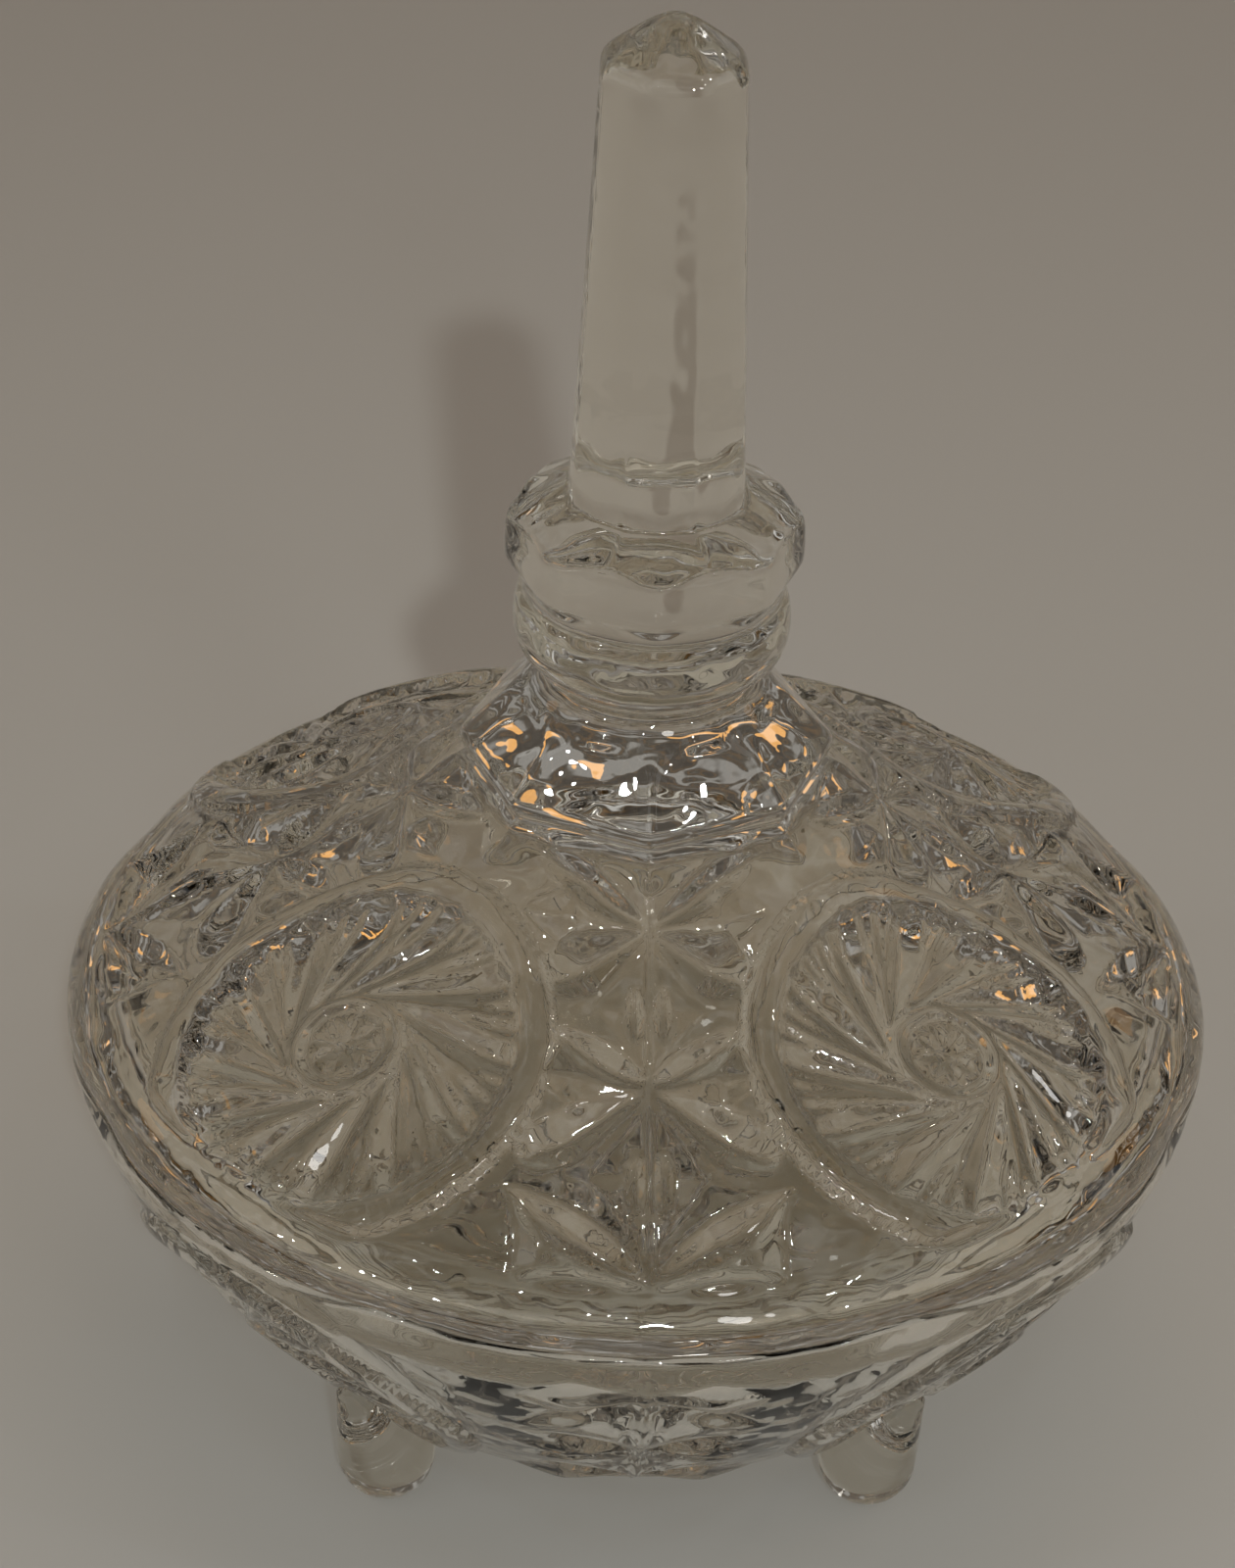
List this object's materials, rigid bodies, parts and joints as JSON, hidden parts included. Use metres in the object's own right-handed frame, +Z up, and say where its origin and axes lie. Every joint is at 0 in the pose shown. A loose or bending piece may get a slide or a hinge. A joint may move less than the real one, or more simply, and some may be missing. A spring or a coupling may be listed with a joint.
{
  "type": "powder jar",
  "caption": "Round footed jar of pressed clear glass, with a domed lift-off lid, pinwheel and star pattern, and a tall faceted finial.",
  "frame": {"origin": "centre of the circle through the four feet, on the surface the jar stands on", "axes": "+Z up along the jar's axis; -Y is the front, where a column of stars faces; the feet stand at 45 degrees to X and Y"},
  "size_m": [0.14, 0.14, 0.1838],
  "materials": {
    "bowl_glass": "clear, fire-polished",
    "lid_glass": "clear, fire-polished"
  },
  "bodies": {
    "bowl": {"bowl": "bowl_glass"},
    "lid": {"lid": "lid_glass"}
  },
  "joints": [
    {"name": "lid_lift", "type": "slide", "parent": "bowl", "child": "lid", "axis": [0, 0, 1], "range_m": [0, 0.06]}
  ]
}
